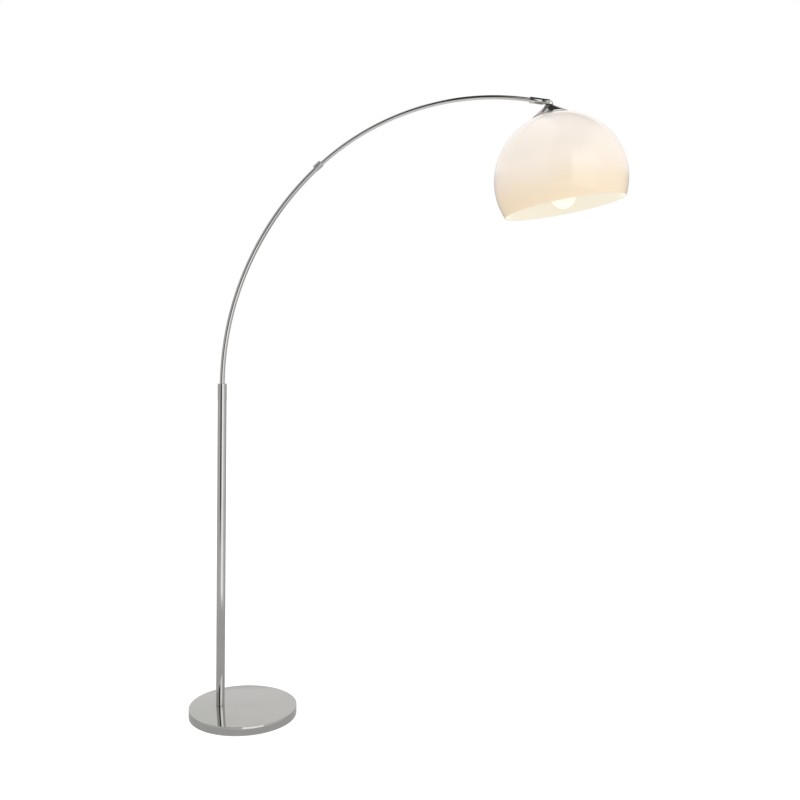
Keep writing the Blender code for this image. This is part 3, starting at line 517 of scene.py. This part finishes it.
def build_stand():
    inner_r = BASE_R - COVER_WALL
    outline = [(0, BASE_TOP), (BASE_R, BASE_TOP, 0.6), (BASE_R, COVER_LIP, 0.5), (inner_r, COVER_LIP, 0.5)]
    outline += [(inner_r, BASE_TOP - COVER_WALL, 1.0), (0, BASE_TOP - COVER_WALL)]
    cover = turned("base_shell", outline, "base_chrome", FINE)
    bored(cover, M10_CLEAR, 30 * MM, 0, AT_POLE)
    out = Vector((math.cos(GLAND_ANGLE), math.sin(GLAND_ANGLE), 0))
    outwards = Vector((0, 0, 1)).rotation_difference(out).to_matrix().to_4x4()
    gland = Matrix.Translation((0, 0, GLAND_Z)) @ outwards
    bored(cover, GLAND_HOLE_R, BASE_R + 5.5 * MM, BASE_R - 8.5 * MM, gland)
    show(cover, "stand", "chrome", "base_cover")

    outline = [(0, PAD_THICK), (PAD_R, PAD_THICK, 0.6), (PAD_R, 0, 0.6), (0, 0)]
    show(turned("base_felt", outline, "felt", FINE), "stand", "felt", "base_pad")

    neck_end, flange, face = inner_r - 2 * MM, BASE_R + 0.35 * MM, BASE_R + 2.6 * MM
    outline = [(GLAND_BORE, neck_end), (GLAND_NECK_R, neck_end), (GLAND_NECK_R, flange)]
    outline += [(GLAND_FLANGE_R, flange), (GLAND_FLANGE_R, BASE_R + 1.4 * MM), (5.0 * MM, face)]
    outline += [(GLAND_BORE, face)]
    show(turned("cable_bush", outline, "rubber", SMALL, gland), "stand", "rubber", "cable_gland")

    low, high = BASE_TOP + FIT, POLE_SEAM - FIT
    tube = ring("pole_skin", POLE_R, POLE_BORE, low, high, "chrome", ROUND, AT_POLE)
    at_back = Matrix.Translation((POLE_X, 0, BUSH_SCREW_Z)) @ ACROSS
    bored(tube, 2 * MM, 14 * MM, 7.2 * MM, at_back)
    show(tube, "stand", "chrome", "pole_tube")

    bearing, spigot = LOWER_TUBE_R + FIT, POLE_BORE - FIT
    spigot_end = POLE_SEAM - 11 * MM
    outline = [(bearing, POLE_TOP, 0.4), (POLE_R, POLE_TOP, 1.6), (POLE_R, POLE_SEAM), (spigot, POLE_SEAM)]
    outline += [(spigot, spigot_end), (bearing, spigot_end)]
    show(turned("pole_end_cap", outline, "chrome", ROUND, AT_POLE), "stand", "chrome", "pole_cap")

    seat, shank_r, head_r, shank_end = POLE_R + FIT, 1.7 * MM, 3.4 * MM, 7.6 * MM
    outline = [(0, 13.6 * MM), (2.9 * MM, 13.4 * MM, 0.8), (head_r, 12.4 * MM), (head_r, seat)]
    outline += [(shank_r, seat), (shank_r, shank_end), (0, shank_end)]
    screw = turned("pole_screw", outline, "zinc_steel", SMALL, at_back)
    cross_recess(screw, at_back, 13.8 * MM, 12.6 * MM, 1.7 * MM, 0.35 * MM)
    show(screw, "stand", "zinc_steel", "bush_screw")


def cross_recess(screw, matrix, high, low, reach, half):
    """A cross slot in a screw's head, cut along local Z."""
    for turn in (0, math.pi / 2):
        corners = [(-reach, low), (reach, low), (reach, high), (-reach, high)]
        blade = prism("blade", corners, -half, half, "chrome", matrix @ Matrix.Rotation(turn, 4, "Z"))
        combine(screw, blade)


# ---------------------------------------------------------------- arm


def build_arm():
    gap = 0.4 * MM / LOWER_BEND
    stations = [((0, SWIVEL_END), 0.0)] + bend(lower_station, 0, COLLAR_ANGLE - gap, BEND_STEPS)
    bore = LOWER_TUBE_R - TUBE_WALL
    tube = swept_tube("arm_lower_skin", stations, LOWER_TUBE_R, bore, TUBE_SIDES, "chrome")
    show(tube, "arm", "chrome", "arc_tube_lower")
    stations = bend(upper_station, COLLAR_ANGLE, TIP_ANGLE, BEND_STEPS)
    (x, z), turn = stations[-1]
    end = (x + TIP_STRAIGHT * math.sin(turn), z + TIP_STRAIGHT * math.cos(turn))
    stations.append((end, turn))
    bore = UPPER_TUBE_R - TUBE_WALL
    tube = swept_tube("arm_upper_skin", stations, UPPER_TUBE_R, bore, TUBE_SIDES, "chrome")
    show(tube, "arm", "chrome", "arc_tube_upper")
    build_collar()
    build_tip()


def build_collar():
    along = COLLAR @ ALONG
    body = COLLAR @ Matrix.Translation((0, 0, COLLAR_OFFSET)) @ ALONG
    outline = [(0, COLLAR_HALF), (COLLAR_R, COLLAR_HALF, 0.5), (COLLAR_R, -COLLAR_HALF, 0.5), (0, -COLLAR_HALF)]
    collar = turned("collar_body", outline, "satin_chrome", ROUND, body)
    past = COLLAR_HALF + 2 * MM
    bored(collar, LOWER_TUBE_R + FIT, 0, -past, along, sides=ROUND)
    bored(collar, UPPER_TUBE_R + FIT, past, -1 * MM, along, sides=ROUND)
    out = 5.2 * MM
    spots = ((-out, "collar_screw_lower", LOWER_TUBE_R), (out, "collar_screw_upper", UPPER_TUBE_R))
    for at, node, tube_r in spots:
        spot = COLLAR @ Matrix.Translation((at, 0, 0))
        bored(collar, M3_CLEAR, 14 * MM, 4 * MM, spot)
        show(grub_screw(node + "_set", tube_r + FIT, 9.3 * MM, spot), "arm", "zinc_steel", node)
    show(collar, "arm", "satin_chrome", "arm_collar")


def grub_screw(name, low, high, matrix):
    """A set screw with a hexagon socket."""
    outline = [(0, high), (M3_R, high, 0.3), (M3_R, low), (0, low)]
    screw = turned(name, outline, "zinc_steel", SMALL, matrix)
    depth = min(1.4 * MM, 0.6 * (high - low))
    return bored(screw, 0.87 * MM, high + 1 * MM, high - depth, matrix, "zinc_steel", HEXAGON)


def build_tip():
    along = TIP @ ALONG
    tube_bore = UPPER_TUBE_R + FIT
    spigot_bore = 6.5 * MM
    step, length = 13 * MM, 30.2 * MM
    outline = [(tube_bore, step, 0), (spigot_bore, step, 0), (spigot_bore, length), (SLEEVE_R, length)]
    outline += [(SLEEVE_R, 0, 0.8), (tube_bore, 0, 0.2)]
    sleeve = turned("sleeve_body", outline, "chrome", ROUND, along)
    under = TIP @ Matrix.Translation((6.5 * MM, 0, 0)) @ Matrix.Rotation(math.pi, 4, "X")
    bored(sleeve, M3_CLEAR, 10 * MM, 4 * MM, under)
    show(sleeve, "arm", "chrome", "head_sleeve")
    show(grub_screw("sleeve_set_screw", tube_bore, 7.2 * MM, under), "arm", "zinc_steel", "sleeve_screw")

    start, shoulder, end = 20.4 * MM, 30.5 * MM, 50.5 * MM
    spigot_r = 6.2 * MM
    outline = [(0, start), (spigot_r, start), (spigot_r, shoulder, 0), (SLEEVE_R, shoulder)]
    outline += [(SLEEVE_R, end, 0.8), (0, end)]
    fork = turned("fork_body", list(reversed(outline)), "chrome", ROUND, along)
    quarter = math.pi / 2
    ear = arc_points((PIVOT_U, PIVOT_V), 4.2 * MM, -quarter, quarter / 2, 24)
    side = [(19 * MM, -9 * MM), (30 * MM, -9 * MM), (30.9 * MM, -7.8 * MM), (37.5 * MM, -4.6 * MM)] + ear
    side += [(end + 1.5 * MM, 3 * MM), (end + 1.5 * MM, 9 * MM), (19 * MM, 9 * MM)]
    combine(fork, prism("side", side, -12 * MM, 12 * MM, "chrome", TIP), "INTERSECT")
    slot = [(41.5 * MM, -12 * MM), (60 * MM, -12 * MM), (60 * MM, 5.8 * MM), (41.5 * MM, 5.8 * MM)]
    combine(fork, prism("slot", slot, -2.5 * MM, 2.5 * MM, "chrome", TIP))
    at_pivot = TIP @ Matrix.Translation((PIVOT_U, 0, PIVOT_V)) @ ACROSS
    outline = [(0, 12 * MM), (5.2 * MM, 12 * MM), (5.2 * MM, 5.6 * MM), (M3_CLEAR, 5.6 * MM)]
    outline += [(r, -y) for r, y in reversed(outline)]
    combine(fork, turned("spots", outline, "chrome", SMALL, at_pivot, 0))
    rise = Vector((24 * MM, 0, 4.8 * MM))
    aim = Vector((0, 0, 1)).rotation_difference(rise).to_matrix().to_4x4()
    bore_at = TIP @ Matrix.Translation((19 * MM, 0, -0.3 * MM)) @ aim
    bored(fork, 1.8 * MM, rise.length, 0, bore_at)
    show(fork, "arm", "chrome", "head_fork")

    head_low, seat, shank_end = -7.9 * MM, -5.9 * MM, 9.4 * MM
    outline = [(0, head_low), (2.9 * MM, head_low, 0.7), (2.9 * MM, seat), (M3_R, seat)]
    outline += [(M3_R, shank_end, 0.4), (0, shank_end)]
    screw = turned("pivot_screw", outline, "zinc_steel", SMALL, at_pivot)
    bored(screw, 1.4 * MM, head_low - 1 * MM, head_low + 1.3 * MM, at_pivot, "zinc_steel", HEXAGON)
    show(screw, "arm", "zinc_steel", "tilt_screw")
    low, high, fillet = 5.9 * MM, 6.5 * MM, 0.1 * MM
    washer = ring("pivot_washer", 3.2 * MM, M3_CLEAR, low, high, "zinc_steel", SMALL, at_pivot, fillet)
    show(washer, "arm", "zinc_steel", "tilt_washer")
    nut = hex_nut("pivot_nut", 5.5 * MM, M3_CLEAR, 6.8 * MM, 9.0 * MM, "zinc_steel", at_pivot)
    show(nut, "arm", "zinc_steel", "tilt_nut")


# ---------------------------------------------------------------- head


def build_head():
    build_knuckle()
    build_shade()
    build_stem()
    build_bulb()
    build_lead()


def build_knuckle():
    crown, under, spigot_end, roof = -5.0 * MM, -7.8 * MM, -19.3 * MM, -10.2 * MM
    spigot_r = 7.0 * MM
    outline = [(0, crown), (10.6 * MM, crown, 3.0), (KNUCKLE_R, -7.2 * MM, 0.5), (KNUCKLE_R, under, 0.2)]
    outline += [(spigot_r, under, 0), (spigot_r, spigot_end), (M10_CLEAR, spigot_end)]
    outline += [(M10_CLEAR, roof, 0), (0, roof)]
    knuckle = turned("knuckle_body", outline, "black_chrome", ROUND, HEAD)
    half = 3.6 * MM
    top = arc_points((0, 0), half, 0, math.pi, 24)
    plate = [(half, -6 * MM)] + top + [(-half, -6 * MM)]
    combine(knuckle, prism("tongue", plate, -2.2 * MM, 2.2 * MM, "black_chrome", HEAD), "UNION")
    bored(knuckle, M3_CLEAR, 5 * MM, -5 * MM, HEAD @ ACROSS)
    fall = Vector((-10.4, 0, -8.8)) * MM
    aim = Vector((0, 0, 1)).rotation_difference(fall).to_matrix().to_4x4()
    bore_at = HEAD @ Matrix.Translation((9.8 * MM, 0, -3.2 * MM)) @ aim
    bored(knuckle, 1.7 * MM, fall.length, 0, bore_at)
    show(knuckle, "head", "black_chrome", "shade_knuckle")


def build_shade():
    top, base, rim = -8.1 * MM, -28.7 * MM, -31.0 * MM
    wall = 1.2 * MM
    inside = CONE_R - wall
    outline = [(7.3 * MM, top, 0.1), (13.5 * MM, top, 1.2), (CONE_R, base, 1.2), (CONE_R, rim, 0.4)]
    outline += [(inside, rim, 0.4), (inside, base - 0.5 * MM, 0.8)]
    outline += [(13.0 * MM, top - wall, 0.8), (7.3 * MM, top - wall, 0.1)]
    show(turned("shade_cap_skin", outline, "chrome", FINE, HEAD), "head", "chrome", "shade_cap")

    inner_r = SHADE_R - SHADE_WALL
    drop = SHADE_CENTRE - SHADE_RIM
    lip = 0.9
    hole_turn, rim_turn = math.acos(SHADE_HOLE_R / SHADE_R), -math.asin(drop / SHADE_R)
    outer = arc_points((0, SHADE_CENTRE), SHADE_R, hole_turn, rim_turn, SHADE_STEPS)
    hole_turn, rim_turn = math.acos(SHADE_HOLE_R / inner_r), -math.asin(drop / inner_r)
    inner = arc_points((0, SHADE_CENTRE), inner_r, rim_turn, hole_turn, SHADE_STEPS)
    outer = [(r, z, 0) for r, z in outer]
    inner = [(r, z, 0) for r, z in inner]
    outer[-1] = (*outer[-1][:2], lip)
    inner[0] = (*inner[0][:2], lip)
    shade = turned("shade_dome", outer + inner, "opal_acrylic", FINE, HEAD, 0)
    # the inner faces take the inside look with its painted glow of the bulb's light
    shade.data.materials.append(LOOKS["opal_inside"])
    centre = Vector((0, 0, SHADE_CENTRE))
    for face in shade.data.polygons:
        out = face.center - centre
        if face.normal.dot(out) < 0 and out.length < SHADE_R - 0.5 * SHADE_WALL:
            face.material_index = 1
    show(shade, "head", "opal_acrylic", "shade")


def build_stem():
    bore = M10_CLEAR
    disc = ring("clamp_disc_skin", 30 * MM, bore, -34.5 * MM, -33.0 * MM, "zinc_steel", ROUND, HEAD)
    show(disc, "head", "zinc_steel", "clamp_disc")
    nut = hex_nut("clamp_nut_skin", 14 * MM, bore, -38.8 * MM, -34.8 * MM, "zinc_steel", HEAD)
    show(nut, "head", "zinc_steel", "clamp_nut")
    sleeve = ring("stem_sleeve_skin", 7 * MM, 5.8 * MM, -123.7 * MM, -39.1 * MM, "chrome", ROUND, HEAD)
    show(sleeve, "head", "chrome", "stem_sleeve")

    radius, wall, top, seam, end = 19.6 * MM, 1.6 * MM, -124.0 * MM, -141.0 * MM, -179.7 * MM
    outline = [(bore, top), (10 * MM, top, 2.0), (radius, top - 9 * MM, 2.5), (radius, seam)]
    outline += [(radius - wall, seam), (radius - wall, top - 10 * MM, 1.5)]
    outline += [(9 * MM, top - wall), (bore, top - wall)]
    dome = turned("holder_dome_skin", outline, "black_plastic", ROUND, HEAD)
    show(dome, "head", "black_plastic", "holder_dome")
    waist_r = radius - 0.6 * MM
    outline = [(radius, seam - FIT), (radius, seam - 6 * MM, 0.2), (waist_r, seam - 6.6 * MM, 0.2)]
    outline += [(waist_r, end, 0.6), (radius - wall, end, 0.4), (radius - wall, seam - FIT)]
    skirt = turned("holder_skirt_skin", outline, "black_plastic", ROUND, HEAD)
    show(skirt, "head", "black_plastic", "holder_skirt")


def build_bulb():
    """The cap's thread is shown as plain rings."""
    low, high = -181.5 * MM, -160.8 * MM
    rings, per_ring = 5, 8
    pitch, mean_r, swell = 3.4 * MM, 12.6 * MM, 0.42 * MM
    outline = [(11.6 * MM, high), (12.2 * MM, high)]
    steps = per_ring * rings
    for i in range(steps + 1):
        z = high - 1.2 * MM - pitch * rings * i / steps
        outline.append((mean_r + swell * math.cos(2 * math.pi * i / per_ring), z, 0))
    outline += [(13.0 * MM, low + 1.0 * MM), (13.0 * MM, low), (11.6 * MM, low)]
    cap = turned("bulb_cap_skin", list(reversed(outline)), "nickel", ROUND, HEAD, 0.1 * MM)
    show(cap, "head", "nickel", "bulb_cap")

    centre = BULB_END + BULB_R
    seat = low - FIT
    glass = 1.0 * MM
    joint = -211.4 * MM
    start = math.asin((joint - centre) / BULB_R)
    neck_r = 11.1 * MM
    waist = [(neck_r, -165 * MM), (neck_r, seat), (13.2 * MM, seat - 1 * MM, 0.6)]
    waist += [(14.0 * MM, -188 * MM, 4), (16.8 * MM, -200 * MM, 20)]
    globe = arc_points((0, centre), BULB_R, start, -math.pi / 2, GLOBE_STEPS)
    outer = waist + [(r, z, 0) for r, z in globe[:-1]] + [(0, BULB_END)]
    inner = [(0, BULB_END + glass)]
    hollow = arc_points((0, centre), BULB_R - glass, -math.pi / 2, start, GLOBE_STEPS)
    inner += [(r, z, 0) for r, z in hollow[1:]]
    inner += [(p[0] - glass, *p[1:]) for p in reversed(waist)]
    bulb = turned("bulb_globe", inner + outer, "bulb_glass", ROUND, HEAD, 0)
    show(bulb, "head", "bulb_glass", "bulb_glass")


def smooth_route(points, per_span):
    """A smooth curve through the points."""
    knots = [Vector(p) for p in points]
    knots = [2 * knots[0] - knots[1]] + knots + [2 * knots[-1] - knots[-2]]
    route = []
    for a, b, c, d in zip(knots, knots[1:], knots[2:], knots[3:]):
        for i in range(per_span):
            t = i / per_span
            route.append(
                0.5 * (2 * b + (c - a) * t + (2 * a - 5 * b + 4 * c - d) * t**2
                       + (3 * b - a - 3 * c + d) * t**3)
            )
    return route + [knots[-2]]


def build_lead():
    """The thin clear lead that loops from the fork to the knuckle."""
    in_fork = [(17.2, 0), (20, 0.1), (30, 2.0), (40, 3.9), (44.5, 4.25), (50.5, 4.1)]
    in_fork = [TIP @ Vector((u * MM, 0, v * MM)) for u, v in in_fork]
    loop = [(7.6, 3.0), (9.9, 0.7), (10.4, -1.7), (9.3, -3.7), (7.4, -5.3), (4.3, -7.9), (1.6, -10.3)]
    loop += [(0.3, -13.4), (0, -18), (0, -60), (0, -141)]
    in_head = [HEAD @ Vector((s * MM, 0, z * MM)) for s, z in loop]
    route = smooth_route(in_fork + in_head, 5)
    curve = bpy.data.curves.new("lead_loop", "CURVE")
    curve.dimensions = "3D"
    curve.bevel_depth = LEAD_R
    curve.bevel_resolution = 6
    curve.use_fill_caps = True
    spline = curve.splines.new("POLY")
    spline.points.add(len(route) - 1)
    for point, place in zip(spline.points, route):
        point.co = (*place, 1)
    guide = bpy.data.objects.new("guide", curve)
    bpy.context.collection.objects.link(guide)
    bpy.context.view_layer.update()
    graph = bpy.context.evaluated_depsgraph_get()
    mesh = bpy.data.meshes.new_from_object(guide.evaluated_get(graph))
    bpy.data.objects.remove(guide)
    bm = bmesh.new()
    bm.from_mesh(mesh)
    bmesh.ops.remove_doubles(bm, verts=bm.verts[:], dist=1e-6)
    lead = to_object("lead_loop", bm, "clear_lead")
    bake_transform(lead)
    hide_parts("lead_in_head")


# ---------------------------------------------------------------- carried-over nodes


def finish_cad_nodes():
    slots = {s["node"]: s["material_slot"] for s in frame["record"]["subparts"]}
    for name, node in frame["nodes"].items():
        node.data.materials.clear()
        node.data.materials.append(LOOKS[slots[name]])
        node.data.shade_smooth()
        node.data.set_sharp_from_angle(angle=CAD_SHARP)


# ---------------------------------------------------------------- stage, light and camera


def build_stage():
    """A pale floor that reflections and bounces don't see: the world's lower half stands for it."""
    bm = bmesh.new()
    bmesh.ops.create_circle(bm, cap_ends=True, radius=FLOOR_R, segments=ROUND)
    mesh = bpy.data.meshes.new("floor")
    bm.to_mesh(mesh)
    bm.free()
    floor = bpy.data.objects.new("floor", mesh)
    bpy.context.collection.objects.link(floor)
    look = bpy.data.materials.new("floor_look")
    look.use_nodes = True
    graph = Graph(look.node_tree)
    shader = look.node_tree.nodes["Principled BSDF"]
    shader.inputs["Base Color"].default_value = (0.5, 0.5, 0.5, 1)
    shader.inputs["Roughness"].default_value = 0.9
    shader.inputs["Specular IOR Level"].default_value = 0.0
    shader.inputs["Emission Color"].default_value = (1, 1, 1, 1)
    shader.inputs["Emission Strength"].default_value = FLOOR_GLOW
    clear = graph.add("ShaderNodeBsdfTransparent")
    back = graph.add("ShaderNodeNewGeometry").outputs["Backfacing"]
    both = graph.add("ShaderNodeMixShader", {0: back, 1: shader.outputs[0], 2: clear.outputs[0]})
    out = look.node_tree.nodes["Material Output"]
    look.node_tree.links.new(both.outputs[0], out.inputs["Surface"])
    mesh.materials.append(look)
    floor.visible_glossy = False
    floor.visible_diffuse = False


def build_world():
    """A white room to the camera. What the chrome mirrors is a grey studio: a dark strip and a bright
    panel beside the camera, grey walls, a dark ceiling and a floor, set by trial to bring the bands
    in the chrome near the photograph's from its own angle."""
    world = bpy.data.worlds.new("studio")
    bpy.context.scene.world = world
    world.use_nodes = True
    graph = Graph(world.node_tree)
    way = graph.add("ShaderNodeTexCoord").outputs["Generated"]
    split = graph.add("ShaderNodeSeparateXYZ", {"Vector": way})
    x, y, z = split.outputs
    turn = graph.math("ARCTAN2", x, graph.math("MULTIPLY", y, -1.0))
    wide = graph.math("ABSOLUTE", turn)
    far = graph.step(z, 0.16, 0.27, 0.42, 0.81)
    level = graph.mix(graph.step(turn, -0.5, 0.5, 0.60, 0.73), far, graph.step(wide, 1.5, 2.4))
    left_wall = graph.step(x, -0.13, -0.05, 0.75, 0.05)
    ceiling = graph.mix(left_wall, 0.8, graph.step(x, 0.35, 0.65))
    level = graph.mix(level, ceiling, graph.step(z, 0.60, 0.72))
    above_floor = graph.step(z, -0.34, -0.30)

    def strip(low, high, soft):
        rise = graph.step(turn, low - soft, low)
        fall = graph.step(turn, high, high + soft, 1.0, 0.0)
        return graph.math("MULTIPLY", graph.math("MULTIPLY", rise, fall), above_floor)

    fade = graph.step(z, -0.27, -0.10)
    level = graph.mix(level, 0.05, graph.math("MULTIPLY", strip(-0.48, 0.11, 0.08), fade))
    low_enough = graph.step(z, 0.45, 0.6, 1.0, 0.0)
    level = graph.mix(level, 1.35, graph.math("MULTIPLY", strip(0.19, 0.88, 0.08), low_enough))
    shoulder = graph.math("MULTIPLY", graph.step(z, 0.24, 0.30), low_enough)
    level = graph.mix(level, 1.7, graph.math("MULTIPLY", strip(0.20, 1.05, 0.08), shoulder))
    level = graph.mix(graph.step(z, -0.75, -0.45, 1.0, 0.52), level, above_floor)
    sky = graph.add("ShaderNodeCombineColor", {0: level, 1: level, 2: level}).outputs[0]
    path = graph.add("ShaderNodeLightPath")
    soft = graph.math("MULTIPLY", path.outputs["Is Diffuse Ray"], 1.0 - ROOM_FILL)
    level = graph.math("MULTIPLY", level, graph.math("SUBTRACT", 1.0, soft))
    seen = path.outputs["Is Camera Ray"]
    shade = graph.add("ShaderNodeMix", data_type="RGBA")
    graph.feed(shade.inputs["Factor"], seen)
    graph.feed(shade.inputs[6], sky)
    graph.feed(shade.inputs[7], (1.0, 1.0, 1.0, 1.0))
    background = world.node_tree.nodes["Background"]
    graph.feed(background.inputs["Color"], shade.outputs[2])


def area_light(name, place, aim, size, power):
    data = bpy.data.lights.new(name, "AREA")
    data.shape = "DISK"
    data.size = size
    data.energy = power
    lamp = bpy.data.objects.new(name, data)
    bpy.context.collection.objects.link(lamp)
    lamp.location = place
    lamp.rotation_euler = (Vector(aim) - Vector(place)).to_track_quat("-Z", "Y").to_euler()
    lamp.visible_glossy = False
    lamp.visible_camera = False


def build_lights():
    area_light("key", (0.3, -3.0, 2.6), (0.5, 0, 1.1), 1.6, 4)
    area_light("top", (0.2, 0.3, 3.6), (0.2, 0, 0), 2.4, 5)


def build_camera():
    data = bpy.data.cameras.new("camera")
    data.sensor_width = 36.0
    data.lens = LENS_MM
    data.clip_start = 0.05
    data.clip_end = 100
    camera = bpy.data.objects.new("camera", data)
    bpy.context.collection.objects.link(camera)
    level = Matrix.Rotation(math.pi / 2 - CAMERA_PITCH, 4, "X")
    turn = level @ Matrix.Rotation(CAMERA_ROLL, 4, "Z")
    camera.matrix_world = Matrix.Translation(CAMERA_PLACE) @ turn
    bpy.context.scene.camera = camera


build_camera()
finish_cad_nodes()
build_stand()
build_arm()
build_head()
build_stage()
build_world()
build_lights()
bpy.context.scene.view_settings.view_transform = "Standard"
